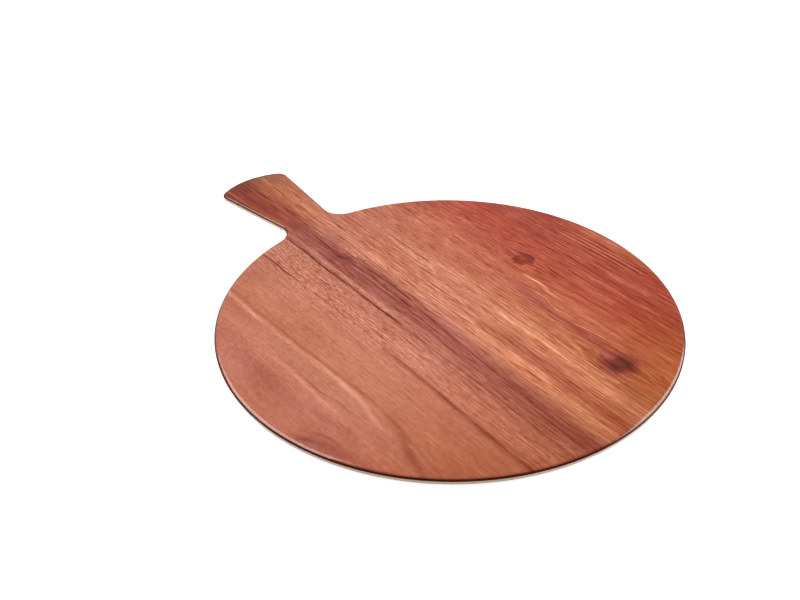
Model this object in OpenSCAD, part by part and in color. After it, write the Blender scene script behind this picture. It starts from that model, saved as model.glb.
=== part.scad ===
// Round pizza serving board with a short flared handle.
// Four moulded layers share one outline: a beige base, a dark brown top layer with a rounded
// edge, a printed wood decor sheet let into it, and a clear glaze. Four silicone feet sit in
// seats in the underside. The handle points along +Y and the feet stand on z = 0.

/* [Board] */
// Diameter of the round serving face
disc_d = 330; // [240:5:420]

/* [Handle] */
// Length of the handle, from the edge of the disc to the tip
handle_l = 100; // [80:1:160]
// Width of the handle where it meets the disc
neck_w = 40; // [30:1:48]
// Width of the handle at its tip, before the corners are rounded
tip_w = 64; // [52:1:80]
// Radius of the curved end of the handle
tip_arc_r = 57; // [45:1:120]
// Radius of the two corners of the tip
tip_corner_r = 9; // [4:0.5:14]
// Radius of the hollow curve between the disc and the handle
neck_fillet_r = 15.5; // [6:0.5:30]

/* [Rim] */
// Height of the beige base, from its underside to the colour line
base_t = 2.8; // [2:0.1:5]
// Height of the rounded upper edge, which is also the height of the layers above the colour line
edge_h = 1.6; // [1.2:0.1:3]
// Width of the rounded upper edge, seen from above
edge_w = 3.2; // [1.6:0.1:3.6]
// Radius of the lower edge of the base
heel_r = 1; // [0.4:0.1:1.6]
// Distance that the wall of the base leans in towards the underside
base_draft = 0.3; // [0:0.1:0.8]

/* [Decor] */
// Thickness of the printed decor sheet
foil_t = 0.2; // [0.1:0.05:0.4]
// Thickness of the clear glaze
glaze_t = 0.25; // [0.1:0.05:0.5]
// Angle of the rounded edge that the decor sheet covers, counted from the top
foil_wrap = 30; // [12:3:75]

/* [Feet] */
// Diameter of a foot
foot_d = 14; // [8:1:24]
// Height of the underside above the table
foot_stand = 1; // [0.6:0.1:3]
// Depth of the seat that a foot is bonded into
foot_seat = 0.6; // [0.3:0.1:1.2]
// Gap round a foot in its seat
foot_gap = 0.3; // [0.1:0.05:0.6]
// Distance from the edge of the disc to the middle of a foot
foot_inset = 40; // [20:1:70]

/* [Hidden] */
// Radius of the lower edge of a foot
foot_edge_r = 0.5;
// Amount that a cut runs past the face it starts from
overrun = 0.5;

// Facets along each curve of the outline and of the rim
disc_facets = 120;
fillet_facets = 8;
corner_facets = 5;
tip_facets = 8;
heel_facets = 3;
wrap_facets = 2;
edge_facets = 4;
$fn = 64;

// Heights of the layers
under_z = foot_stand;
colour_z = under_z + base_t;

// Depth below the surface of the bed that the decor sheet lies in
bed_depth = glaze_t + foil_t;

// The disc is centred here, so that the box round the whole board is centred on the origin
disc_r = disc_d / 2;
disc_y = -handle_l / 2;

// The side of the handle is a straight line at distance side_offset from the centre of the disc
tip_y = disc_r + handle_l;
tip_sag = tip_arc_r - sqrt(pow(tip_arc_r, 2) - pow(tip_w / 2, 2));
flare = atan2((tip_w - neck_w) / 2, handle_l - tip_sag);
side_normal = [cos(flare), -sin(flare)];
side_along = [sin(flare), cos(flare)];
side_offset = [neck_w / 2, disc_r] * side_normal;

// Centre of the curved end, on the axis of the handle
tip_centre = [0, tip_y - tip_arc_r];

// Centre of the hollow neck curve, which touches the disc and the side of the handle
fillet_reach = side_offset + neck_fillet_r;
fillet_centre = fillet_reach * side_normal
    + sqrt(pow(disc_r + neck_fillet_r, 2) - pow(fillet_reach, 2)) * side_along;
fillet_angle = atan2(fillet_centre.y, fillet_centre.x);

// Centre of the tip corner, which touches the side and the curved end from inside
corner_reach = side_offset - tip_corner_r;
corner_run = sqrt(pow(tip_arc_r - tip_corner_r, 2) - pow(corner_reach - tip_centre * side_normal, 2));
corner_centre = corner_reach * side_normal + (tip_centre * side_along + corner_run) * side_along;
corner_angle = atan2(corner_centre.y - tip_centre.y, corner_centre.x);

// From this point on the axis every point of the outline is in plain sight
hub = [0, disc_r - neck_fillet_r];

// Angles along the rounded edge, from the top down: under the decor sheet, and below it
wrap_angles = [for (k = [0 : wrap_facets]) foil_wrap * k / wrap_facets];
edge_angles = [for (k = [0 : edge_facets]) foil_wrap + (90 - foil_wrap) * k / edge_facets];
arris_angles = concat(wrap_angles, [for (k = [1 : edge_facets]) edge_angles[k]]);

// Direction of each foot from the centre of the disc
FEET = [
    ["front_left_foot", 225],
    ["front_right_foot", 315],
    ["handle_left_foot", 135],
    ["handle_right_foot", 45],
];

function mirrored(p) = [-p.x, p.y];
function reversed(list) = [for (k = [len(list) - 1 : -1 : 0]) list[k]];

// Points along an arc. One that carries on from the arc before it leaves out its first point.
function arc(centre, r, from, to, facets, carries_on) = [
    for (k = [carries_on ? 1 : 0 : facets])
        let (a = from + (to - from) * k / facets)
        centre + r * [cos(a), sin(a)]
];

// The board's outline, drawn in by inset all round: the disc, then the handle from right to left
function outline(inset) = concat(
    arc([0, 0], disc_r - inset, 180 - fillet_angle, 360 + fillet_angle, disc_facets, true),
    arc(fillet_centre, neck_fillet_r + inset, 180 + fillet_angle, 180 - flare, fillet_facets, true),
    arc(corner_centre, tip_corner_r - inset, -flare, corner_angle, corner_facets, false),
    arc(tip_centre, tip_arc_r - inset, corner_angle, 180 - corner_angle, tip_facets, true),
    arc(mirrored(corner_centre), tip_corner_r - inset, 180 - corner_angle, 180 + flare,
        corner_facets, true),
    arc(mirrored(fillet_centre), neck_fillet_r + inset, flare, -fillet_angle, fillet_facets, false)
);

// Rings of the rounded edge as [inset, z], on a quarter of an ellipse at a depth below the surface
function arris(depth, angles) = [
    for (a = angles)
        [edge_w - (edge_w - depth) * sin(a), colour_z + (edge_h - depth) * cos(a)]
];

// Rings of the lower edge of the base, from the underside up
heel = [
    for (k = [0 : heel_facets])
        let (a = 90 * k / heel_facets)
        [base_draft + heel_r * (1 - sin(a)), under_z + heel_r * (1 - cos(a))]
];

// A closed solid through rings of the outline, given as [inset, z]. The first and the last ring
// are closed by flat faces.
module loft(rings) {
    ends = [rings[0], rings[len(rings) - 1]];
    side = len(outline(0));
    last = side * (len(rings) - 1);
    hubs = side * len(rings);
    points = concat(
        [for (ring = rings) for (p = outline(ring[0])) [p.x, p.y, ring[1]]],
        [for (end = ends) [hub.x, hub.y, end[1]]]
    );
    faces = [
        for (k = [0 : side - 1])
            let (next = (k + 1) % side)
            each concat(
                [[hubs, k, next], [hubs + 1, last + next, last + k]],
                [
                    for (base = [0 : side : last - side])
                        each [
                            [base + k, base + side + k, base + side + next],
                            [base + k, base + side + next, base + next],
                        ]
                ]
            )
    ];
    translate([0, disc_y, 0]) polyhedron(points, faces);
}

// Puts a shape at the middle of a foot, at the level of the underside
module at_foot(direction) {
    translate([0, disc_y, under_z]) rotate(direction) translate([disc_r - foot_inset, 0, 0])
        children();
}

module base_moulding() {
    color("#b7a793")
        difference() {
            loft(concat(heel, [[0, colour_z]]));
            for (f = FEET)
                at_foot(f[1]) translate([0, 0, -overrun])
                    cylinder(h = overrun + foot_seat, r = foot_d / 2 + foot_gap);
        }
}

module top_moulding() {
    color("#3b1a10")
        loft(concat(reversed(arris(glaze_t, edge_angles)), reversed(arris(bed_depth, wrap_angles))));
}

module decor_foil() {
    color("#b5694b")
        loft(concat(arris(bed_depth, wrap_angles), reversed(arris(glaze_t, wrap_angles))));
}

module clear_glaze() {
    color("#f4ece4", 0.3)
        loft(concat(arris(glaze_t, arris_angles), reversed(arris(0, arris_angles))));
}

module foot(direction) {
    color("#8f8a84")
        at_foot(direction) translate([0, 0, -foot_stand])
            rotate_extrude()
                union() {
                    square([foot_d / 2 - foot_edge_r, foot_stand + foot_seat]);
                    translate([0, foot_edge_r])
                        square([foot_d / 2, foot_stand + foot_seat - foot_edge_r]);
                    translate([foot_d / 2 - foot_edge_r, foot_edge_r]) circle(foot_edge_r);
                }
}

base_moulding();
top_moulding();
decor_foil();
clear_glaze();
for (f = FEET)
    foot(f[1]);
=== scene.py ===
"""Looks of the pizza serving board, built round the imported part.

Metres in the part's frame: the handle points along +Y and the feet stand on z = 0.
The four pressed layers of the part are drawn again as three smooth pieces with the same outline and
edge; only the print reaches a little further down that edge. The feet are the part's own.
"""
from collections import namedtuple
from math import atan2, cos, pi, radians, sin, sqrt

import bmesh
import bpy
from mathutils import Matrix, Vector


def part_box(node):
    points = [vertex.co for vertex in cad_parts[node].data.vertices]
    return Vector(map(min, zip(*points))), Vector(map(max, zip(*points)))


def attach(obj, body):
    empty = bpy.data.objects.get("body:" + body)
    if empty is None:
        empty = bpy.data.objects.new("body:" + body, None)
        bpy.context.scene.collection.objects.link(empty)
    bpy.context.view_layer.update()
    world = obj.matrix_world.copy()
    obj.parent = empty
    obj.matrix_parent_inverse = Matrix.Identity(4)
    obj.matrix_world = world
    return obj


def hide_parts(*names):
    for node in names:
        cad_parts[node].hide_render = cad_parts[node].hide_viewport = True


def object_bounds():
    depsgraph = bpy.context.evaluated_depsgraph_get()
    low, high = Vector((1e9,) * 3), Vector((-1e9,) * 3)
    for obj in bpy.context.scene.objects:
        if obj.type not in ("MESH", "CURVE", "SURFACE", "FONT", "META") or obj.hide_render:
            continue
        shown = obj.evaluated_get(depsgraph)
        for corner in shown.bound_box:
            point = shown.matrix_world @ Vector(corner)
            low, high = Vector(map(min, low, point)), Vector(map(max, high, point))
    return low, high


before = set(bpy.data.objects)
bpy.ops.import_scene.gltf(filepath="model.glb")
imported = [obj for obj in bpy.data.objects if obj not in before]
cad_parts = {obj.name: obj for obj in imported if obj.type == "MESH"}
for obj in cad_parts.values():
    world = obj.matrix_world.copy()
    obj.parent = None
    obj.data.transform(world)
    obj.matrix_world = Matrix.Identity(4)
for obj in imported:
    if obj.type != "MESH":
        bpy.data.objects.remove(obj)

CAD_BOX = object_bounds()
MM = 0.001

# Outline of the board, with the sizes of the part's source
DISC_R = 165 * MM
HANDLE_L = 100 * MM
NECK_W = 40 * MM
TIP_W = 64 * MM
TIP_ARC_R = 57 * MM
TIP_CORNER_R = 9 * MM
NECK_FILLET_R = 15.5 * MM
DISC_CENTRE = Vector((0, CAD_BOX[0][1] + DISC_R))

# Section of the rim; the wrap is how far the print reaches down the ellipse of the upper edge
UNDER_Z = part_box("base_moulding")[0][2]
COLOUR_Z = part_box("base_moulding")[1][2]
FACE_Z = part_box("clear_glaze")[1][2]
EDGE_H = FACE_Z - COLOUR_Z
EDGE_W = 3.2 * MM
HEEL_R = 1 * MM
BASE_DRAFT = 0.3 * MM
LAYER_T = 0.45 * MM
DECOR_WRAP = radians(45)
FLAT_BORDER = 0.6 * MM

# Painted shade on the rounded edge: the print darkens towards its border in place of the shade there; tone
# and share of that darkening, and how late it sets in
PAINTED_RIM_SHADE_TONE = "#4a0e02"
PAINTED_RIM_SHADE = 0.55
PAINTED_RIM_SHADE_CURVE = 1.5

# Seats of the feet
SEAT_R = 7.3 * MM
SEAT_DEPTH = 0.6 * MM
FEET = ["front_left_foot", "front_right_foot", "handle_left_foot", "handle_right_foot"]

# Steps along the curves, fine enough that no facet shows
DISC_STEPS = 360
FILLET_STEPS = 20
CORNER_STEPS = 14
TIP_STEPS = 24
WRAP_STEPS = 5
EDGE_STEPS = 7
HEEL_STEPS = 6
SEAT_STEPS = 48
CREASE = radians(30)

# The photo's camera: focal length and disc centre in pixels of the 800 by 600 image
IMAGE_W = 800
IMAGE_H = 600
FOCAL_PX = 1039.9
DISC_PX = (447.8, 315.7)
DISC_AWAY = 0.7407
PITCH = radians(35.10)
TURN = radians(38.65)
ROLL = radians(-1.20)
SENSOR_W = 36

# Studio light: a sky that is bright low down and dim above, two softboxes (width and height in metres,
# and the direction to hang them in, as the camera sees it), and a white floor with a low cove far out
LOW_SKY = 0.5
HIGH_SKY = 0.06
SKY_FADE = (sin(radians(22)), sin(radians(42)))
Softbox = namedtuple("Softbox", "name width height right away up")
SOFTBOXES = [
    Softbox("left_softbox", 0.8, 0.68, -0.53, 0.33, 0.78),
    Softbox("right_softbox", 0.9, 0.55, 0.75, 0.26, 0.61),
]
SOFTBOX_AWAY = 1.2
SOFTBOX_POWER = 11.7
FLOOR_HALF = 8
FLOOR_GLOW = 0.85
COVE_R = 6
COVE_H = 0.85
COVE_STEPS = 96

# Moulded surfaces, in millimetres: flow marks, specks, and the peel and uneven gloss of the mould
FLOW_W = 25
FLOW_L = 50
SPECK_W = 0.7
PEEL_W = 1.2
GLOSS_W = 10
GLOSS_L = 18

# Wood print, in millimetres from the disc's centre: u across the grain, v along it towards the handle
PRINT_HALF = 170
PRINT_FRONT = -170
PRINT_TIP = 270
HANDLE_STARTS = 140
HANDLE_FULL = 200
# Grain lines lean, and wander to both sides in marks of a width and a length
LEAN = 0.03
WANDER = 2.5
WANDER_W = 60
WANDER_L = 150
# Streaks wiggle in the same way, and their strength comes and goes
WIGGLE = 0.9
WIGGLE_W = 14
WIGGLE_L = 28
BREAK_W = 5
BREAK_L = 35
BROKEN = (0.55, 1.2)
# Random marks lie mostly between these two values; lines take finer detail than soft spots
NOISE_LOW = 0.3
NOISE_HIGH = 0.7
SPOT_DETAIL = 2
LINE_DETAIL = 3
# Broad tones across the disc and across the handle, and along the board to shade both
DISC_TONES = [
    (-165, "#ba725a"), (-135, "#bb715c"), (-124, "#c37a61"), (-114, "#bd7660"), (-97, "#c0775b"),
    (-80, "#c37b60"), (-64, "#c27961"), (-46, "#c47c64"), (-36, "#b9745f"), (-27, "#af6a58"),
    (-16, "#a35d51"), (-7, "#b16b57"), (4, "#c87f66"), (16, "#c2785d"), (36, "#c67e63"),
    (46, "#bd6f52"), (60, "#b96950"), (76, "#b66047"), (88, "#a84f39"), (105, "#a54933"),
    (118, "#9e422f"), (128, "#a34935"), (150, "#9a3e29"),
]
HANDLE_TONES = [
    (-32, "#964834"), (-22, "#984732"), (-16, "#8a3a28"), (-9, "#964430"), (-4, "#97442e"),
    (2, "#b06040"), (9, "#ae6140"), (14, "#b26748"), (24, "#ac6248"),
]
LENGTH_TONES = [
    (-165, "#e4d0b8"), (-130, "#ead9c5"), (-90, "#f6ece3"), (-20, "#ffffff"), (60, "#fbfbfa"),
    (105, "#f9f9f8"), (132, "#eeeeec"), (152, "#f4f4f2"), (180, "#fcfcfa"), (215, "#f2f0ee"),
    (240, "#e8e4e0"), (252, "#d2c8c2"), (262, "#bcaca4"),
]
# Streaks: tone, soft width to the left and to the right, and a path of (u, v, strength)
Streak = namedtuple("Streak", "code left right path")
STREAKS = [
    # Dark heart of the board, with its border lines
    Streak("#82382e", 16, 9, [
        (-24, -165, 0.02), (-23, -135, 0.1), (-22, -110, 0.2), (-20, -60, 0.22), (-17, -30, 0.25),
        (-13, 5, 0.42), (-8.5, 30, 0.55), (-6, 60, 0.65), (-7, 90, 0.75), (-11, 112, 0.7),
        (-10, 128, 0.75), (-8, 150, 0.68), (-4, 190, 0.4)]),
    Streak("#88403a", 2, 13, [
        (-24, 10, 0), (-24.5, 40, 0.35), (-24.5, 80, 0.55), (-23.5, 110, 0.55), (-22, 135, 0.45),
        (-20, 160, 0)]),
    Streak("#6e3438", 6, 3, [
        (-8, 70, 0), (-8, 88, 0.2), (-8.5, 98, 0.4), (-9.5, 104, 0.6), (-12.5, 110, 0.5),
        (-14, 116, 0.25), (-14, 124, 0)]),
    Streak("#c88a72", 3, 3, [
        (-29, 20, 0), (-28.7, 50, 0.45), (-27.5, 90, 0.5), (-26.5, 120, 0.35), (-25, 140, 0)]),
    Streak("#701e0c", 1.6, 1.6, [
        (-40, -165, 0.4), (-38.3, -125, 0.4), (-36.5, -90, 0.45), (-35.5, -50, 0.35), (-34, 0, 0.6),
        (-33.3, 30, 0.9), (-32.3, 60, 1), (-31.2, 100, 1), (-29.7, 130, 1), (-27, 170, 0.6)]),
    Streak("#5c140a", 0.9, 0.9, [
        (-34, 0, 0), (-33.3, 30, 0.5), (-32.3, 60, 0.7), (-31.2, 100, 0.8), (-29.7, 130, 0.8),
        (-27.5, 160, 0)]),
    Streak("#74220e", 0.9, 0.9, [
        (-31, 30, 0), (-30.3, 60, 0.3), (-29.3, 100, 0.35), (-27.5, 130, 0.4), (-25.5, 155, 0.2),
        (-25, 165, 0)]),
    Streak("#5e1812", 1.1, 1.1, [
        (-25, -165, 0.4), (-23.5, -125, 0.5), (-21, -85, 0.5), (-18.5, -55, 0.6), (-17, -38, 0.7),
        (-15, -15, 0.6), (-13, 5, 0.9), (-11.5, 15, 0.9), (-9.5, 30, 0.9), (-8, 45, 0.8), (-7, 60, 0.8),
        (-6.8, 75, 0.8), (-7.6, 90, 0.7), (-9, 102, 0.7), (-13, 111, 0.9), (-13.5, 118, 0.5),
        (-11, 130, 0.7), (-10, 150, 0.4), (-8, 165, 0)]),
    Streak("#5e1812", 1, 1, [
        (-14, 20, 0), (-13.8, 38, 0.6), (-13.2, 52, 0.8), (-12.2, 65, 1), (-11, 76, 0.9),
        (-11.6, 88, 0.4), (-12, 98, 0)]),
    Streak("#6e2420", 0.9, 0.9, [
        (-17, 15, 0), (-17, 40, 0.6), (-16.5, 70, 0.6), (-16, 92, 0.5), (-17, 115, 0.5),
        (-18, 140, 0)]),
    Streak("#6e2420", 0.9, 0.9, [
        (-21, 60, 0), (-21.5, 85, 0.4), (-22, 115, 0.5), (-21, 145, 0.4), (-20, 165, 0)]),
    Streak("#c48470", 0.9, 0.9, [(-14.8, 30, 0), (-14.6, 55, 0.35), (-13.8, 80, 0.4), (-14, 95, 0)]),
    Streak("#74281c", 0.9, 0.9, [(-24.5, -40, 0), (-23.8, 5, 0.5), (-23, 30, 0.4), (-22.5, 50, 0)]),
    Streak("#6a2018", 1, 1, [(-21.5, -40, 0), (-20, -15, 0.4), (-19, 10, 0.4), (-19, 50, 0)]),
    Streak("#7e3424", 1.1, 1.1, [
        (-29.5, -165, 0.5), (-28, -130, 0.4), (-27, -90, 0.3), (-26, -40, 0.3), (-25, -20, 0)]),
    # Second dark line, left of the heart, in two strands
    Streak("#8a4030", 4.5, 3, [
        (-67, -165, 0.7), (-66, -130, 0.75), (-63.8, -90, 0.7), (-61.5, -40, 0.55), (-60, 0, 0)]),
    Streak("#702010", 1.4, 1.4, [
        (-67.5, -165, 0.6), (-65.8, -130, 0.55), (-64, -90, 0.5), (-61, -40, 0.45), (-58.5, 0, 0.4),
        (-58, 15, 0.4), (-57.5, 40, 0.3), (-57, 65, 0.4), (-57, 95, 0.6), (-57, 115, 0.8),
        (-56.5, 135, 0.9), (-55, 165, 0.9)]),
    Streak("#7c3020", 0.9, 0.9, [
        (-63, -150, 0.3), (-61.5, -110, 0.4), (-62, -70, 0.3), (-58.5, -30, 0.3), (-57.5, -5, 0)]),
    # Light streak with a dark edge near the left side, the grey patch beside it, and the purple swirl
    Streak("#e29c7e", 4, 2.6, [
        (-113, -70, 0), (-109, -55, 0.3), (-104.5, -35, 0.65), (-103.5, -15, 0.8), (-104, 15, 0.6),
        (-104, 40, 0.7), (-104.5, 65, 0.4), (-105, 95, 0.8), (-104, 135, 0.5)]),
    Streak("#8a3c28", 1.5, 3, [
        (-105, -85, 0.3), (-102, -65, 0.35), (-100.3, -45, 0.4), (-100, -20, 0.4), (-101, 20, 0.35),
        (-101.5, 50, 0.4), (-101, 95, 0.4), (-100, 135, 0.3)]),
    Streak("#92402e", 5, 6, [
        (-118, -112, 0.5), (-115, -100, 0.55), (-110, -87, 0.6), (-105, -72, 0.45), (-102, -55, 0)]),
    Streak("#bb8268", 4, 4.5, [
        (-112, -45, 0), (-113, -28, 0.5), (-112, -10, 0.6), (-112, 10, 0.7), (-113, 40, 0.5),
        (-113, 70, 0)]),
    Streak("#844434", 0.9, 0.9, [
        (-118, -42, 0), (-116.5, -30, 0.8), (-117.5, -20, 0.6), (-119.4, -8, 0.7), (-119, 5, 0.5),
        (-118, 30, 0)]),
    Streak("#dc9c7c", 3, 2.5, [
        (-125, -55, 0), (-124, -30, 0.2), (-123, -5, 0.6), (-122, 18, 0.45), (-121, 45, 0)]),
    Streak("#d08064", 3, 3, [(-127, -78, 0), (-125, -65, 0.5), (-124, -50, 0.3), (-124, -40, 0)]),
    Streak("#a45a54", 16, 8, [(-137, 0, 0), (-136, 20, 0.35), (-136, 45, 0.5), (-136, 70, 0)]),
    Streak("#a0584c", 6, 8, [
        (-128, -75, 0), (-130, -55, 0.4), (-131, -40, 0.5), (-133, -22, 0.3), (-134, -8, 0)]),
    Streak("#8c423e", 10, 7, [
        (-142, -75, 0), (-146, -60, 0.5), (-150, -46, 0.6), (-156, -36, 0.4), (-160, -28, 0)]),
    Streak("#86403e", 2.4, 2.4, [
        (-148, -64, 0), (-147.5, -56, 0.4), (-149, -48, 0.45), (-153, -41, 0.5), (-157, -35, 0)]),
    Streak("#86403e", 2.2, 2.2, [
        (-141, -66, 0), (-140.5, -54, 0.35), (-143, -44, 0.4), (-148, -36, 0.3), (-152, -31, 0)]),
    Streak("#a85246", 5, 5, [(-138, -90, 0.5), (-140, -75, 0.5), (-143, -66, 0)]),
    Streak("#a8624a", 14, 14, [(-82, 66, 0), (-82, 84, 0.35), (-80, 104, 0.4), (-74, 130, 0.4)]),
    Streak("#9c5240", 2.5, 2.5, [(-86, -140, 0.3), (-84, -100, 0.3), (-81, -70, 0.3), (-79, -45, 0)]),
    # Orange field and light lines right of the heart
    Streak("#d88a64", 10, 5, [
        (-7, -165, 0.45), (-6, -130, 0.6), (-3, -90, 0.75), (0, -45, 0.6), (3, -15, 0.2), (4, 0, 0)]),
    Streak("#9a5630", 16, 16, [(33, -165, 0.7), (34, -146, 0.7), (35, -128, 0)]),
    Streak("#c47a56", 8, 6, [(-14, -165, 0.6), (-14, -148, 0.6), (-13, -130, 0.2), (-12, -116, 0)]),
    Streak("#d8946c", 8, 3.5, [
        (33, -132, 0), (33, -115, 0.6), (36, -98, 0.5), (43, -84, 0.5), (44, -74, 0.4), (44, -60, 0)]),
    Streak("#b06646", 5, 5, [(14, -66, 0), (15, -50, 0.5), (16, -38, 0.5), (17, -22, 0)]),
    Streak("#b06646", 5, 4, [(35, -64, 0), (35, -50, 0.45), (36, -38, 0.45), (36, -22, 0)]),
    Streak("#e89a70", 1.4, 1.4, [
        (-3, -125, 0.3), (0, -95, 0.5), (3, -60, 0.7), (4.5, -35, 0.7), (5.5, 0, 0.2), (6, 15, 0)]),
    Streak("#e89a70", 1.2, 1.2, [
        (-9, -110, 0), (-7, -80, 0.5), (-5, -50, 0.4), (-4, -30, 0.4), (-3, -10, 0)]),
    Streak("#9a4630", 5, 6, [
        (4, -165, 0.7), (5, -130, 0.75), (8, -95, 0.7), (10, -60, 0.45), (13, -30, 0.3), (15, 0, 0)]),
    Streak("#d88a64", 9, 13, [
        (20, -165, 0.4), (21, -130, 0.6), (24, -100, 0.75), (26, -70, 0.75), (27, -40, 0.5),
        (29, -10, 0.2), (30, 10, 0)]),
    Streak("#eaa884", 0.9, 0.9, [
        (24, -120, 0), (25.5, -100, 0.6), (27, -75, 0.6), (28, -50, 0.5), (30, -20, 0)]),
    Streak("#eaa884", 0.9, 0.9, [(33, -115, 0), (34.5, -90, 0.6), (36, -60, 0.6), (37, -30, 0)]),
    Streak("#a85a3e", 1, 1, [
        (31, -120, 0), (32.5, -95, 0.4), (33, -60, 0.3), (33, -30, 0.3), (33, -10, 0)]),
    Streak("#d68e72", 4, 4, [
        (6, -30, 0), (6, -15, 0.2), (5, 20, 0.4), (5, 60, 0.5), (6, 95, 0.4), (8, 130, 0.2),
        (9, 165, 0.2)]),
    Streak("#a05440", 0.9, 0.9, [(14, 20, 0), (15, 60, 0.3), (15.5, 100, 0.4), (16, 150, 0.3)]),
    Streak("#a05440", 0.9, 0.9, [(24, 30, 0), (23.5, 60, 0.3), (24, 110, 0.3), (25, 140, 0)]),
    Streak("#9a4e3a", 1, 1, [(42, 30, 0.1), (43, 65, 0.4), (44, 100, 0.4), (46, 130, 0.3)]),
    Streak("#9a4e3a", 1, 1, [(54, 60, 0), (54, 90, 0.3), (55, 120, 0.3), (56, 140, 0)]),
    Streak("#a85840", 12, 12, [
        (54, 5, 0), (52, 30, 0.35), (47, 60, 0.6), (46, 95, 0.5), (48, 130, 0.6)]),
    Streak("#a85e44", 16, 14, [(30, 85, 0), (32, 108, 0.25), (33, 130, 0.4), (33, 150, 0.4)]),
    # Purple fork above the large knot, and the light lines beside it
    Streak("#984638", 5, 4.5, [
        (49, -112, 0), (52, -102, 0.45), (54, -95, 0.5), (56, -70, 0.3), (56.5, -45, 0.5),
        (53, -15, 0.4), (50, 5, 0)]),
    Streak("#9a4a42", 9, 8, [
        (50, -111, 0), (52, -103, 0.4), (54, -94, 0.5), (55, -84, 0.4), (56, -70, 0.2), (56, -60, 0)]),
    Streak("#984638", 4.5, 5, [
        (60, -85, 0), (57.5, -60, 0.35), (58, -42, 0.5), (62, -12, 0.4), (64, 8, 0)]),
    Streak("#e09068", 1.2, 1.2, [(59, -55, 0), (62, -45, 0.6), (66, -30, 0.6), (67, -20, 0)]),
    Streak("#de8e66", 1, 1, [
        (65, -108, 0), (63.5, -100, 0.5), (61.5, -85, 0.5), (60, -72, 0.4), (59, -65, 0)]),
    Streak("#7e3020", 0.9, 0.9, [
        (66, -115, 0), (63, -104, 0.3), (60, -80, 0.5), (58, -62, 0.5), (57, -55, 0)]),
    Streak("#e69c78", 2.6, 2.2, [
        (70, -120, 0), (71, -100, 0.1), (72.5, -70, 0.3), (72.8, -50, 0.35), (74, -32, 0.65),
        (76, -22, 0.9), (77.3, -14, 0.9), (77, -5, 0.75), (77, 3, 0)]),
    Streak("#944c48", 6, 6, [(60, -48, 0), (61, -34, 0.35), (62, -20, 0.3), (62, -5, 0.2), (62, 8, 0)]),
    Streak("#7c382e", 0.9, 0.9, [
        (58, -62, 0), (61, -46, 0.6), (63.5, -36, 0.7), (66, -28, 0.5), (67, -20, 0)]),
    Streak("#7c382e", 0.9, 0.9, [(57.5, -66, 0), (56.5, -50, 0.6), (54, -35, 0.4), (52, -20, 0)]),
    Streak("#966050", 4, 4, [(65, 4, 0), (66, 14, 0.35), (67, 22, 0.35), (66, 32, 0)]),
    # Yellow-brown front, right of the large knot
    Streak("#ae6034", 60, 60, [
        (75, -165, 0.7), (75, -140, 0.65), (80, -120, 0.4), (86, -95, 0.2), (88, -75, 0)]),
    # Red right side with its fine lines
    Streak("#b2442c", 14, 14, [(112, 20, 0), (113, 55, 0.35), (116, 90, 0.42), (118, 125, 0.35)]),
    Streak("#8c3622", 1, 1, [
        (84, -130, 0.4), (86, -90, 0.6), (87.5, -60, 0.5), (88, -30, 0.3), (88, -5, 0)]),
    Streak("#8c3622", 1.1, 1.1, [
        (101, -115, 0.4), (102.5, -80, 0.6), (103, -45, 0.6), (102.5, -20, 0.3), (102, 0, 0)]),
    Streak("#8c3622", 0.9, 0.9, [(105, -112, 0.3), (106, -85, 0.5), (106, -60, 0.4), (105.5, -40, 0)]),
    Streak("#8c3622", 0.9, 0.9, [(93, -122, 0.3), (94, -90, 0.5), (94.5, -55, 0.4), (94, -25, 0)]),
    Streak("#842e20", 1.3, 1.3, [
        (115, -120, 0.5), (117, -90, 0.7), (118, -40, 0.7), (118.5, -10, 0.4), (119, 10, 0)]),
    Streak("#c06a50", 7, 6, [(99, -70, 0), (100, -54, 0.5), (101, -38, 0.5), (100, -22, 0)]),
    Streak("#cc7c58", 4, 4, [(76, -64, 0), (76, -52, 0.45), (76, -40, 0.45), (76, -28, 0)]),
    Streak("#bc6650", 4, 4, [
        (110, -90, 0), (111, -70, 0.5), (111, -40, 0.6), (110, -15, 0.4), (109, 5, 0)]),
    Streak("#be6a54", 4, 4, [
        (125, -80, 0), (125, -58, 0.5), (125, -30, 0.6), (124, -5, 0.3), (123, 15, 0)]),
    Streak("#bc6e4c", 6, 8, [
        (152, -62, 0.2), (155, -38, 0.6), (157, -12, 0.8), (157, 20, 0.5), (155, 42, 0)]),
    Streak("#883626", 1.5, 1.5, [
        (131, -85, 0.4), (132.5, -55, 0.5), (133, -30, 0.4), (134, 0, 0.4), (134, 25, 0)]),
    Streak("#802c1c", 0.9, 0.9, [
        (136, -75, 0), (138, -50, 0.5), (139.5, -10, 0.8), (139, 22, 0.6), (137, 55, 0)]),
    Streak("#802c1c", 0.9, 0.9, [
        (142, -62, 0), (143, -35, 0.8), (143.5, 0, 0.8), (142.5, 30, 0.4), (141, 50, 0)]),
    Streak("#802c1c", 0.9, 0.9, [
        (146, -60, 0), (147, -40, 0.7), (147.5, -10, 0.8), (147, 20, 0.5), (145, 45, 0)]),
    Streak("#802c1c", 0.8, 0.8, [(149.5, -48, 0), (150.5, -25, 0.7), (151, 5, 0.7), (150, 30, 0)]),
    Streak("#d07e62", 0.9, 0.9, [(140, -62, 0), (141, -35, 0.7), (141.5, -5, 0.7), (140.8, 30, 0)]),
    Streak("#d07e62", 0.9, 0.9, [(144, -58, 0), (145, -35, 0.7), (145.5, -5, 0.7), (145, 25, 0)]),
    Streak("#d07e62", 0.8, 0.8, [(148.5, -50, 0), (149, -25, 0.6), (149.4, 0, 0.6), (149, 25, 0)]),
    Streak("#8a3222", 1.1, 1.1, [(129, 40, 0), (127, 70, 0.4), (124, 95, 0.4), (122, 110, 0)]),
    Streak("#903624", 1.1, 1.1, [(106, 60, 0), (108, 85, 0.4), (108, 110, 0.4), (107, 122, 0)]),
    # Lines that bend round the small knot
    Streak("#6e1c0c", 1.2, 1.2, [
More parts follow.
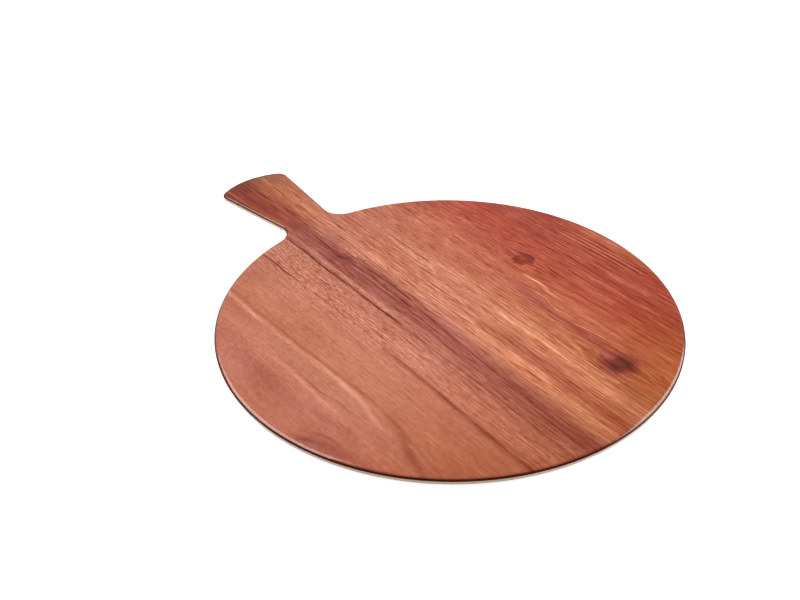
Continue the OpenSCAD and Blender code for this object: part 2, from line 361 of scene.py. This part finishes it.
        (91, 24.5, 0.6), (87.8, 26, 0.8), (86, 30, 0.7), (84.6, 35, 0.4), (84, 40, 0)]),
    Streak("#5e140a", 2.4, 1.8, [
        (98.4, 9, 0), (98.6, 14, 0.8), (98, 19, 1), (95.5, 24, 0.8), (93.5, 28, 0)]),
    Streak("#641408", 3, 4, [
        (83.5, 9, 0), (84, 13, 0.3), (84.5, 16.5, 0.4), (86, 20, 0.4), (87, 23, 0)]),
    Streak("#6e1c0c", 1.2, 1.2, [(92, 5.5, 0), (93.5, 7.5, 0.5), (97, 10.5, 0.6), (98.5, 13, 0)]),
    Streak("#8a3220", 1.2, 1.2, [
        (105, -5, 0), (108, 12, 0.5), (107.5, 28, 0.6), (104, 38, 0.5), (102, 48, 0)]),
    Streak("#8a3220", 1.2, 1.2, [
        (116, 5, 0), (117, 12, 0.6), (117, 22, 0.6), (115, 34, 0.3), (112, 45, 0)]),
    # Lines of the handle
    Streak("#6a2412", 2, 2, [
        (-18, 180, 0), (-18, 195, 0.2), (-17.5, 215, 0.5), (-17, 240, 0.9), (-16.5, 265, 0.9)]),
    Streak("#ae5634", 1.6, 1.6, [(-22, 200, 0), (-23.5, 225, 0.4), (-24, 245, 0.5), (-24, 265, 0.4)]),
    Streak("#521808", 1.3, 1.3, [
        (-24.5, 200, 0), (-25.5, 214, 0.5), (-26.2, 228, 0.8), (-27, 245, 0.8), (-27.5, 268, 0.6)]),
    Streak("#5e200e", 1.3, 1, [
        (-8, 155, 0.2), (-5, 175, 0.5), (-3, 195, 0.7), (-3.5, 212, 0.7), (-5.5, 228, 0.9),
        (-5, 245, 1), (-4, 268, 1)]),
    Streak("#6e2a18", 0.9, 0.9, [
        (-11, 165, 0), (-10, 185, 0.5), (-9.5, 205, 0.5), (-10, 230, 0.4), (-10, 250, 0)]),
    Streak("#8a4228", 0.9, 0.9, [(3, 170, 0), (4.5, 195, 0.5), (5.5, 225, 0.4), (6, 250, 0)]),
    Streak("#8e4632", 1.2, 1.2, [(18, 225, 0), (19.5, 238, 0.6), (20.5, 250, 0.7), (21, 266, 0.5)]),
    Streak("#c07c50", 2.5, 2.5, [(7, 200, 0), (7.5, 220, 0.4), (8, 236, 0.3), (8, 250, 0)]),
    Streak("#d4987a", 3, 3, [
        (12, 165, 0.25), (12.5, 182, 0.4), (12.5, 198, 0.5), (13, 215, 0.25), (13.5, 240, 0)]),
    Streak("#84502e", 10, 8, [(17, 232, 0), (16, 250, 0.6), (15, 268, 0.7)]),
    # Painted highlight: a lighter band along the left edge of the handle near the neck
    Streak("#b8705a", 4, 5, [(-22, 165, 0), (-22, 178, 0.6), (-22.5, 190, 0.5), (-23, 202, 0)]),
    Streak("#a86a58", 5, 6, [(19, 150, 0), (19, 165, 0.4), (19, 185, 0.4), (19, 205, 0)]),
]
# Knots: place, half sizes and reach of the grain's flow round them, then core and halo
Knot = namedtuple("Knot", "u v long short flow core strength edge pale_heart halo halo_strength")
# Slant of the knots, flow along the grain against the flow across it, and width of the ragged marks
KNOT_SLANT = radians(-38)
KNOT_FLOW_ALONG = 0.4
KNOT_RAG_W = 4
# Heart, end of the core, halo and ragged edge, as shares of a knot's half sizes
KNOT_HEART = (0.2, 0.7)
KNOT_CORE_END = 1.15
KNOT_HALO = (0.8, 1.8)
KNOT_RAG = 0.3
KNOTS = [
    Knot(91, 15.5, 9, 7.4, 9, "#742214", 0.72, 0.75, 0.05, "#a04632", 0.3),
    Knot(49.5, -117.5, 11, 10, 11, "#42101c", 0.85, 0.4, 0, "#86363a", 0.8),
]
# Fine grain: layers of marks (width, length, weight), the range of their shade, and the share of each
# layer across and along the board; the lift is what a shade does to red, green and blue
Grain = namedtuple("Grain", "marks low high across along")
GRAIN = [
    # Clouds
    Grain([(40, 70, 1), (16, 40, 0.8), (3.5, 5, 0.9)], -1, 1,
          [(-165, 0.4), (-90, 0.4), (-50, 0.25), (20, 0.3), (60, 0.3), (165, 0.3)], [(-165, 1), (265, 1)]),
    # Fibres
    Grain([(6, 150, 0.7), (1.5, 60, 1.5), (0.75, 20, 3)], -1, 1,
          [(-165, 0.16), (-80, 0.22), (-60, 0.42), (-35, 0.62), (-15, 0.75), (20, 0.75), (60, 0.65),
           (100, 0.8), (165, 1)],
          [(-165, 0.9), (265, 1)]),
    # Pits
    Grain([(0.8, 6, 2.6), (0.8, 2.5, 1.4)], -0.5, 0.2,
          [(-165, 0.3), (-80, 0.35), (-62, 0.6), (-50, 1), (-35, 1), (-25, 0.55), (20, 0.5), (165, 0.4)],
          [(-165, 0.5), (-30, 0.6), (40, 1), (130, 1), (180, 0.5), (265, 0.4)]),
]
GRAIN_LIFT = (0.66, 1.16, 1.42)


def arc(centre, radius, start, end, steps, carries_on):
    """Points along an arc; one that carries on from another leaves out its first point."""
    points = []
    for step in range(1 if carries_on else 0, steps + 1):
        angle = start + (end - start) * step / steps
        points.append(centre + radius * Vector((cos(angle), sin(angle))))
    return points


def outline(inset):
    """The board's outline drawn in by an inset: disc, neck curves, flared sides, rounded tip."""
    tip_sag = TIP_ARC_R - sqrt(TIP_ARC_R ** 2 - (TIP_W / 2) ** 2)
    flare = atan2((TIP_W - NECK_W) / 2, HANDLE_L - tip_sag)
    normal = Vector((cos(flare), -sin(flare)))
    along = Vector((sin(flare), cos(flare)))
    side = Vector((NECK_W / 2, DISC_R)).dot(normal)
    tip = Vector((0, DISC_R + HANDLE_L - TIP_ARC_R))

    reach = side + NECK_FILLET_R
    fillet = reach * normal + sqrt((DISC_R + NECK_FILLET_R) ** 2 - reach ** 2) * along
    fillet_angle = atan2(fillet.y, fillet.x)
    reach = side - TIP_CORNER_R
    run = sqrt((TIP_ARC_R - TIP_CORNER_R) ** 2 - (reach - tip.dot(normal)) ** 2)
    corner = reach * normal + (tip.dot(along) + run) * along
    corner_angle = atan2(corner.y - tip.y, corner.x)

    left = Vector((-1, 1))
    hollow = NECK_FILLET_R + inset
    nose = TIP_CORNER_R - inset
    points = arc(Vector((0, 0)), DISC_R - inset, pi - fillet_angle, 2 * pi + fillet_angle, DISC_STEPS, True)
    points += arc(fillet, hollow, pi + fillet_angle, pi - flare, FILLET_STEPS, True)
    points += arc(corner, nose, -flare, corner_angle, CORNER_STEPS, False)
    points += arc(tip, TIP_ARC_R - inset, corner_angle, pi - corner_angle, TIP_STEPS, True)
    points += arc(corner * left, nose, pi - corner_angle, pi + flare, CORNER_STEPS, True)
    points += arc(fillet * left, hollow, flare, -fillet_angle, FILLET_STEPS, False)
    return [DISC_CENTRE + point for point in points]


def ring(bm, points, z):
    """Vertices of one closed line at a height."""
    return [bm.verts.new((point.x, point.y, z)) for point in points]


def skin(bm, low, high):
    """Faces between two rings of the same length."""
    for k in range(len(low)):
        bm.faces.new((low[k - 1], low[k], high[k], high[k - 1]))


def loft(bm, section):
    """Rings and walls for a section of (inset, z) steps; returns the first and the last ring."""
    rings = [ring(bm, outline(inset), z) for inset, z in section]
    for low, high in zip(rings, rings[1:]):
        skin(bm, low, high)
    return rings[0], rings[-1]


def arris(depth, start, end, steps):
    """Steps of the elliptical upper edge at a depth below its surface, by angles from the face down."""
    angles = [start + (end - start) * step / steps for step in range(steps + 1)]
    return [(EDGE_W - (EDGE_W - depth) * sin(a), COLOUR_Z + (EDGE_H - depth) * cos(a)) for a in angles]


def make_piece(name, bm, material, slot, *nodes):
    """Turns the mesh into a smooth piece of the board that stands for CAD nodes."""
    bmesh.ops.recalc_face_normals(bm, faces=bm.faces)
    for face in bm.faces:
        face.smooth = True
    for edge in bm.edges:
        edge.smooth = edge.calc_face_angle(0) < CREASE
    mesh = bpy.data.meshes.new(name)
    bm.to_mesh(mesh)
    bm.free()
    mesh.materials.append(material)
    piece = bpy.data.objects.new(name, mesh)
    bpy.context.scene.collection.objects.link(piece)
    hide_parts(*nodes)
    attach(piece, "root")


def beige_base(material):
    """Pressed base: rounded heel, slightly drafted wall, and four round seats for the feet."""
    bm = bmesh.new()
    quarter = [pi / 2 * step / HEEL_STEPS for step in range(HEEL_STEPS + 1)]
    section = [(BASE_DRAFT + HEEL_R * (1 - sin(a)), UNDER_Z + HEEL_R * (1 - cos(a))) for a in quarter]
    under, parting = loft(bm, section + [(0, COLOUR_Z)])
    bm.faces.new(parting)
    border = ring(bm, outline(section[0][0] + FLAT_BORDER), UNDER_Z)
    skin(bm, border, under)
    rims = [border]
    for foot in FEET:
        low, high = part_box(foot)
        centre = Vector(((low[0] + high[0]) / 2, (low[1] + high[1]) / 2))
        circle = arc(centre, SEAT_R, 0, 2 * pi, SEAT_STEPS, True)
        mouth = ring(bm, circle, UNDER_Z)
        bed = ring(bm, circle, UNDER_Z + SEAT_DEPTH)
        skin(bm, mouth, bed)
        bm.faces.new(bed)
        rims.append(mouth)
    loops = [bm.edges.get((rim[k - 1], rim[k])) for rim in rims for k in range(len(rim))]
    bmesh.ops.triangle_fill(bm, edges=loops, use_beauty=True)
    make_piece("beige_base", bm, material, "beige_melamine", "base_moulding")


def brown_edge(material):
    """Dark moulding between base and print: only its rounded edge below the print shows."""
    bm = bmesh.new()
    section = arris(0, pi / 2, DECOR_WRAP, EDGE_STEPS) + arris(LAYER_T, DECOR_WRAP, 0, WRAP_STEPS)
    floor, bed = loft(bm, section)
    bm.faces.new(floor)
    bm.faces.new(bed)
    make_piece("brown_edge", bm, material, "brown_melamine", "top_moulding")


def glazed_decor(material):
    """Printed decor with its glaze: one thin skin over the face, drawn down over the rounded edge."""
    bm = bmesh.new()
    rim = bm.verts.layers.float.new("rim")
    under = arris(LAYER_T, 0, DECOR_WRAP, WRAP_STEPS)
    over = arris(0, DECOR_WRAP, 0, WRAP_STEPS)
    bed, face = loft(bm, under + over)
    bm.faces.new(bed)
    bm.faces.new(face)
    # The rim value is painted shade: how far the print is darkened down the rounded edge
    for vert in bm.verts:
        drop = (FACE_Z - vert.co.z) / (EDGE_H * (1 - cos(DECOR_WRAP)))
        vert[rim] = PAINTED_RIM_SHADE * min(drop, 1) ** PAINTED_RIM_SHADE_CURVE
    make_piece("glazed_decor", bm, material, "wood_decor", "decor_foil", "clear_glaze")


def tone(code):
    """Linear colour of an sRGB hex code."""
    parts = [int(code[k:k + 2], 16) / 255 for k in (1, 3, 5)]
    return [part / 12.92 if part <= 0.04045 else ((part + 0.055) / 1.055) ** 2.4 for part in parts] + [1]


def add(tree, kind, inputs, out=0, **settings):
    """Adds one shader node: settings, then inputs by number or name, from values or other outputs.

    A colour Mix has its share at input 0, its two colours at 6 and 7, and its result at output 2.
    """
    node = tree.nodes.new("ShaderNode" + kind)
    for name, value in settings.items():
        setattr(node, name, value)
    for key, value in inputs.items():
        if isinstance(value, bpy.types.NodeSocket):
            tree.links.new(value, node.inputs[key])
        else:
            node.inputs[key].default_value = value
    return node.outputs[out]


def new_material(name, **constants):
    """A material with one Principled shader; constants go straight onto its sockets."""
    material = bpy.data.materials.new(name)
    material.use_nodes = True
    shader = material.node_tree.nodes["Principled BSDF"]
    for socket, value in constants.items():
        shader.inputs[socket.replace("_", " ")].default_value = value
    return material, material.node_tree, shader


def board_place(tree):
    """Place on the board in millimetres from the disc's centre: across the grain, along it, and up."""
    place = add(tree, "TexCoord", {}, out="Object")
    return add(tree, "VectorMath", {0: place, 1: (1 / MM,) * 3, 2: (0, -DISC_CENTRE.y / MM, 0)},
               operation="MULTIPLY_ADD")


def share_of(value, low, high):
    """How far a value lies from a low to a high one."""
    return (value - low) / (high - low)


def follow(tree, share, points):
    """A value that follows a share along a curve; a new curve has two points, and more are added."""
    followed = add(tree, "FloatCurve", {"Value": share})
    curve = followed.node.mapping.curves[0]
    ready = len(curve.points)
    for k, point in enumerate(points):
        if k < ready:
            curve.points[k].location = point
        else:
            curve.points.new(*point)
    followed.node.mapping.update()
    return followed


def marks(tree, place, width, length, detail, space="2D"):
    """Random marks of a width and a length in millimetres."""
    drawn = add(tree, "VectorMath", {0: place, 1: (1 / width, 1 / length, 1 / width)}, operation="MULTIPLY")
    return add(tree, "TexNoise", {"Vector": drawn, "Scale": 1, "Detail": detail}, noise_dimensions=space)


def sway(tree, place, width, length, detail, reach):
    """Random sway by a reach to both sides, in marks of a width and a length."""
    noise = marks(tree, place, width, length, detail)
    return add(tree, "Math", {0: noise, 1: 2 * reach, 2: -reach}, operation="MULTIPLY_ADD")


def spots(tree, place, width, length, low, high):
    """Soft uneven spots of a width and a length, from a low to a high value."""
    noise = marks(tree, place, width, length, SPOT_DETAIL, "3D")
    return add(tree, "MapRange", {0: noise, 1: NOISE_LOW, 2: NOISE_HIGH, 3: low, 4: high})


def moulded_skin(tree, shader, place, gloss, peel):
    """Uneven gloss between two roughnesses, and a fine peel, on a surface that comes from a mould."""
    tree.links.new(spots(tree, place, GLOSS_W, GLOSS_L, *gloss), shader.inputs["Roughness"])
    height = spots(tree, place, PEEL_W, PEEL_W, 0, 1)
    tree.links.new(add(tree, "Bump", {"Height": height, "Distance": peel}), shader.inputs["Normal"])


def speckled(tree, shader, place, dark, pale, speck, share):
    """Colour of a moulding compound: cloudy flow marks between two tones, with scattered specks."""
    flow = spots(tree, place, FLOW_W, FLOW_L, 0, 1)
    colour = add(tree, "Mix", {0: flow, 6: tone(dark), 7: tone(pale)}, out=2, data_type="RGBA")
    specks = spots(tree, place, SPECK_W, SPECK_W, -1, share)
    specks = add(tree, "Clamp", {0: specks})
    colour = add(tree, "Mix", {0: specks, 6: colour, 7: tone(speck)}, out=2, data_type="RGBA")
    tree.links.new(colour, shader.inputs["Base Color"])


def beige_melamine():
    """Pressed melamine, beige all through: a satin skin with faint flow marks and small darker specks."""
    material, tree, shader = new_material("pressed_beige_melamine")
    place = board_place(tree)
    speckled(tree, shader, place, dark="#e6d0b8", pale="#f0deca", speck="#bda084", share=0.45)
    moulded_skin(tree, shader, place, gloss=(0.28, 0.42), peel=0.02 * MM)
    return material


def brown_melamine():
    """Pressed melamine, dark brown: a smooth edge below the print, with faint redder flow marks."""
    material, tree, shader = new_material("pressed_brown_melamine", Specular_IOR_Level=0.2)
    place = board_place(tree)
    speckled(tree, shader, place, dark="#521003", pale="#6a1606", speck="#3a0a03", share=0.4)
    moulded_skin(tree, shader, place, gloss=(0.16, 0.26), peel=0.01 * MM)
    return material


def bend_grain(tree, place, across, along):
    """Grain lines lean and wander a little, and flow round each knot."""
    wander = sway(tree, place, WANDER_W, WANDER_L, SPOT_DETAIL, WANDER)
    loose = add(tree, "Math", {0: across, 1: wander}, operation="ADD")
    grain = add(tree, "Math", {0: along, 1: -LEAN, 2: loose}, operation="MULTIPLY_ADD")
    for knot in KNOTS:
        off = add(tree, "VectorMath", {0: place, 1: (knot.u, knot.v, 0)}, operation="SUBTRACT")
        unit = add(tree, "VectorMath", {0: off, 1: (1 / knot.flow, KNOT_FLOW_ALONG / knot.flow, 0)},
                   operation="MULTIPLY")
        square = add(tree, "VectorMath", {0: unit, 1: unit}, out="Value", operation="DOT_PRODUCT")
        push = add(tree, "Math", {0: square, 1: 1}, operation="ADD")
        side = add(tree, "VectorMath", {0: off, 1: (1, 0, 0)}, out="Value", operation="DOT_PRODUCT")
        push = add(tree, "Math", {0: side, 1: push}, operation="DIVIDE")
        grain = add(tree, "Math", {0: grain, 1: push}, operation="SUBTRACT")
    return grain


def wood_field(tree, across, grain, along):
    """Broad tones of the board, from side to side and from the front to the handle."""
    ramps = []
    for stops, value, low, high in ((DISC_TONES, grain, -PRINT_HALF, PRINT_HALF),
                                    (HANDLE_TONES, across, -PRINT_HALF, PRINT_HALF),
                                    (LENGTH_TONES, along, PRINT_FRONT, PRINT_TIP)):
        share = add(tree, "MapRange", {0: value, 1: low, 2: high})
        ramps.append(add(tree, "ValToRGB", {0: share}))
        elements = ramps[-1].node.color_ramp.elements
        ready = len(elements)
        for k, (at, code) in enumerate(stops):
            stop = elements[k] if k < ready else elements.new(1)
            stop.position = share_of(at, low, high)
            stop.color = tone(code)
    on_handle = add(tree, "MapRange", {0: along, 1: HANDLE_STARTS, 2: HANDLE_FULL},
                    interpolation_type="SMOOTHSTEP")
    field = add(tree, "Mix", {0: on_handle, 6: ramps[0], 7: ramps[1]}, out=2, data_type="RGBA")
    return add(tree, "Mix", {0: 1, 6: field, 7: ramps[2]}, out=2, data_type="RGBA", blend_type="MULTIPLY")


def draw_streaks(tree, colour, place, across, along):
    """Lines and bands that run with the grain, each on its own curve and with its own strength.

    A smooth step needs no clamp, and without one there is room for this many streaks in one material.
    """
    wiggle = sway(tree, place, WIGGLE_W, WIGGLE_L, LINE_DETAIL, WIGGLE)
    side = add(tree, "Math", {0: across, 1: wiggle}, operation="ADD")
    noise = marks(tree, place, BREAK_W, BREAK_L, LINE_DETAIL)
    broken = add(tree, "MapRange", {0: noise, 1: NOISE_LOW, 2: NOISE_HIGH, 3: BROKEN[0], 4: BROKEN[1]})
    length = add(tree, "MapRange", {0: along, 1: PRINT_FRONT, 2: PRINT_TIP})
    for streak in STREAKS:
        course = []
        strength = []
        for u, v, part in streak.path:
            at = share_of(v, PRINT_FRONT, PRINT_TIP)
            course.append((at, share_of(u, -PRINT_HALF, PRINT_HALF)))
            strength.append((at, part))
        course = follow(tree, length, course)
        strength = follow(tree, length, strength)
        path = add(tree, "Math", {0: course, 1: 2 * PRINT_HALF, 2: -PRINT_HALF}, operation="MULTIPLY_ADD")
        off = add(tree, "Math", {0: side, 1: path}, operation="SUBTRACT")
        left = add(tree, "MapRange", {0: off, 1: -streak.left, 2: 0, 3: 0, 4: broken},
                   interpolation_type="SMOOTHSTEP", clamp=False)
        right = add(tree, "MapRange", {0: off, 1: 0, 2: streak.right, 3: broken, 4: 0},
                    interpolation_type="SMOOTHSTEP", clamp=False)
        body = add(tree, "Math", {0: left, 1: right}, operation="MINIMUM")
        shown = add(tree, "Math", {0: body, 1: strength}, operation="MULTIPLY")
        colour = add(tree, "Mix", {0: shown, 6: colour, 7: tone(streak.code)}, out=2, data_type="RGBA")
    return colour


def draw_knots(tree, colour, place):
    """Knots: a dark core with a ragged edge, a little paler in its heart, in a redder halo."""
    ragged = sway(tree, place, KNOT_RAG_W, KNOT_RAG_W, LINE_DETAIL, KNOT_RAG)
    for knot in KNOTS:
        off = add(tree, "VectorMath", {0: place, 1: (knot.u, knot.v, 0)}, operation="SUBTRACT")
        turned = add(tree, "VectorRotate", {"Vector": off, "Angle": -KNOT_SLANT}, rotation_type="Z_AXIS")
        unit = add(tree, "VectorMath", {0: turned, 1: (1 / knot.long, 1 / knot.short, 0)},
                   operation="MULTIPLY")
        away = add(tree, "VectorMath", {0: unit}, out="Value", operation="LENGTH")
        away = add(tree, "Math", {0: away, 1: ragged}, operation="ADD")
        halo = add(tree, "MapRange", {0: away, 1: KNOT_HALO[0], 2: KNOT_HALO[1], 3: knot.halo_strength,
                                      4: 0}, interpolation_type="SMOOTHSTEP")
        colour = add(tree, "Mix", {0: halo, 6: colour, 7: tone(knot.halo)}, out=2, data_type="RGBA")
        paler = knot.strength * (1 - knot.pale_heart)
        heart = add(tree, "MapRange", {0: away, 1: KNOT_HEART[0], 2: KNOT_HEART[1], 3: paler,
                                       4: knot.strength}, interpolation_type="SMOOTHSTEP")
        core = add(tree, "MapRange", {0: away, 1: knot.edge, 2: KNOT_CORE_END, 3: heart, 4: 0},
                   interpolation_type="SMOOTHSTEP")
        colour = add(tree, "Mix", {0: core, 6: colour, 7: tone(knot.core)}, out=2, data_type="RGBA")
    return colour


def fine_grain(tree, colour, across, grain, along):
    """Clouds, fibres drawn out along the grain, and short pits, each strongest in its own zones."""
    line = add(tree, "CombineXYZ", {0: grain, 1: along})
    side = add(tree, "MapRange", {0: across, 1: -PRINT_HALF, 2: PRINT_HALF})
    length = add(tree, "MapRange", {0: along, 1: PRINT_FRONT, 2: PRINT_TIP})
    for layer in GRAIN:
        shade = -sum(weight for width, length_of, weight in layer.marks) / 2
        for width, length_of, weight in layer.marks:
            noise = marks(tree, line, width, length_of, LINE_DETAIL)
            shade = add(tree, "Math", {0: noise, 1: weight, 2: shade}, operation="MULTIPLY_ADD")
        shade = add(tree, "Clamp", {0: shade, 1: layer.low, 2: layer.high})
        for share, stops, low, high in ((side, layer.across, -PRINT_HALF, PRINT_HALF),
                                        (length, layer.along, PRINT_FRONT, PRINT_TIP)):
            zone = follow(tree, share, [(share_of(at, low, high), part) for at, part in stops])
            shade = add(tree, "Math", {0: shade, 1: zone}, operation="MULTIPLY")
        factor = add(tree, "VectorMath", {0: shade, 1: GRAIN_LIFT, 2: (1, 1, 1)}, operation="MULTIPLY_ADD")
        colour = add(tree, "Mix", {0: 1, 6: colour, 7: factor}, out=2, data_type="RGBA",
                     blend_type="MULTIPLY")
    return colour


def wood_print():
    """Printed wood decor under clear melamine glaze: red-brown grain below an even, slightly wavy gloss."""
    material, tree, shader = new_material("glazed_wood_print", Specular_IOR_Level=0.35)
    place = board_place(tree)
    across, along = add(tree, "SeparateXYZ", {0: place}).node.outputs[:2]
    grain = bend_grain(tree, place, across, along)
    colour = wood_field(tree, across, grain, along)
    colour = draw_knots(tree, colour, place)
    colour = draw_streaks(tree, colour, place, across, along)
    colour = fine_grain(tree, colour, across, grain, along)
    moulded_skin(tree, shader, place, gloss=(0.07, 0.14), peel=0.003 * MM)
    # Painted shade: the rim value darkens the print down the rounded edge
    rim = add(tree, "Attribute", {}, out="Fac", attribute_name="rim")
    colour = add(tree, "Mix", {0: rim, 6: colour, 7: tone(PAINTED_RIM_SHADE_TONE)}, out=2, data_type="RGBA")
    tree.links.new(colour, shader.inputs["Base Color"])
    return material


def silicone():
    """Moulded silicone: matt grey-brown rubber of the anti-slip feet, with a little pale dust on it."""
    material, tree, shader = new_material("moulded_silicone")
    place = board_place(tree)
    speckled(tree, shader, place, dark="#867f77", pale="#938c84", speck="#b4ada4", share=0.5)
    moulded_skin(tree, shader, place, gloss=(0.62, 0.8), peel=0.03 * MM)
    return material


def dress_feet(material):
    """The CAD feet have their final shape and take the rubber."""
    for foot in FEET:
        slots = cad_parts[foot].data.materials
        slots.clear()
        slots.append(material)


def photo_camera():
    """Camera of the photo, from the focal length, the tilt and the place of the disc in the image."""
    turn = Matrix.Rotation(TURN, 3, "Z")
    tilt = Matrix(((1, 0, 0), (0, -sin(PITCH), -cos(PITCH)), (0, cos(PITCH), -sin(PITCH))))
    roll = Matrix.Rotation(ROLL, 3, "Z")
    axes = roll @ tilt @ turn
    ray = Vector(((DISC_PX[0] - IMAGE_W / 2) / FOCAL_PX, (DISC_PX[1] - IMAGE_H / 2) / FOCAL_PX, 1))
    disc = Vector((DISC_CENTRE.x, DISC_CENTRE.y, COLOUR_Z))
    place = disc - axes.transposed() @ (ray * DISC_AWAY)
    flip = Matrix.Diagonal((1, -1, -1))
    data = bpy.data.cameras.new("photo_camera")
    data.sensor_fit = "HORIZONTAL"
    data.sensor_width = SENSOR_W
    data.lens = FOCAL_PX / IMAGE_W * SENSOR_W
    camera = bpy.data.objects.new("photo_camera", data)
    camera.matrix_world = Matrix.Translation(place) @ (axes.transposed() @ flip).to_4x4()
    bpy.context.scene.collection.objects.link(camera)
    bpy.context.scene.camera = camera


def hang(softbox):
    """A soft area light that looks at the disc, placed by directions as the camera sees them."""
    data = bpy.data.lights.new(softbox.name, "AREA")
    data.shape = "RECTANGLE"
    data.size = softbox.width
    data.size_y = softbox.height
    data.energy = SOFTBOX_POWER
    lamp = bpy.data.objects.new(softbox.name, data)
    aim = Matrix.Rotation(-TURN, 3, "Z") @ Vector((softbox.right, softbox.away, softbox.up)).normalized()
    lamp.location = Vector((DISC_CENTRE.x, DISC_CENTRE.y, FACE_Z)) + aim * SOFTBOX_AWAY
    lamp.rotation_euler = aim.to_track_quat("Z", "Y").to_euler()
    bpy.context.scene.collection.objects.link(lamp)


def studio():
    """Pale floor and cove, a sky that is bright low down and dim above, and a softbox at each side."""
    scene = bpy.context.scene
    scene.view_settings.view_transform = "Standard"
    world = bpy.data.worlds.new("studio")
    world.use_nodes = True
    tree = world.node_tree
    direction = add(tree, "TexCoord", {}, out="Generated")
    height = add(tree, "SeparateXYZ", {0: direction}, out=2)
    sky = add(tree, "MapRange", {0: height, 1: SKY_FADE[0], 2: SKY_FADE[1], 3: LOW_SKY, 4: HIGH_SKY},
              interpolation_type="SMOOTHSTEP")
    tree.nodes["Background"].inputs["Color"].default_value = tone("#ffffff")
    tree.links.new(sky, tree.nodes["Background"].inputs["Strength"])
    scene.world = world
    for softbox in SOFTBOXES:
        hang(softbox)

    paper = floor_paper()
    bm = bmesh.new()
    bmesh.ops.create_grid(bm, x_segments=1, y_segments=1, size=FLOOR_HALF)
    stage_piece("floor", bm, paper)
    bm = bmesh.new()
    circle = arc(Vector((0, 0)), COVE_R, 0, 2 * pi, COVE_STEPS, True)
    skin(bm, ring(bm, circle, 0), ring(bm, circle, COVE_H))
    # The cove whitens the horizon and what the gloss mirrors; it sheds no light and throws no shadow
    cove = stage_piece("cove", bm, paper)
    cove.visible_diffuse = False
    cove.visible_shadow = False


def stage_piece(name, bm, material):
    """A piece of the stage round the board."""
    mesh = bpy.data.meshes.new(name)
    bm.to_mesh(mesh)
    bm.free()
    mesh.materials.append(material)
    piece = bpy.data.objects.new(name, mesh)
    bpy.context.scene.collection.objects.link(piece)
    return piece


def floor_paper():
    """White studio paper: takes the board's shadow, and shows white to the camera and in reflections."""
    material = bpy.data.materials.new("white_studio_paper")
    material.use_nodes = True
    tree = material.node_tree
    tree.nodes.remove(tree.nodes["Principled BSDF"])
    rays = tree.nodes.new("ShaderNodeLightPath").outputs
    seen = add(tree, "Math", {0: rays["Is Camera Ray"], 1: rays["Is Glossy Ray"]}, operation="MAXIMUM")
    seen = add(tree, "Math", {0: seen, 1: rays["Is Transmission Ray"]}, operation="MAXIMUM")
    glow = add(tree, "Math", {0: seen, 1: FLOOR_GLOW}, operation="MULTIPLY")
    matt = add(tree, "BsdfDiffuse", {"Color": tone("#d4d4d4")})
    light = add(tree, "Emission", {"Color": tone("#ffffff"), "Strength": glow})
    both = add(tree, "AddShader", {0: matt, 1: light})
    tree.links.new(both, tree.nodes["Material Output"].inputs["Surface"])
    return material


photo_camera()
studio()
beige_base(beige_melamine())
brown_edge(brown_melamine())
glazed_decor(wood_print())
dress_feet(silicone())
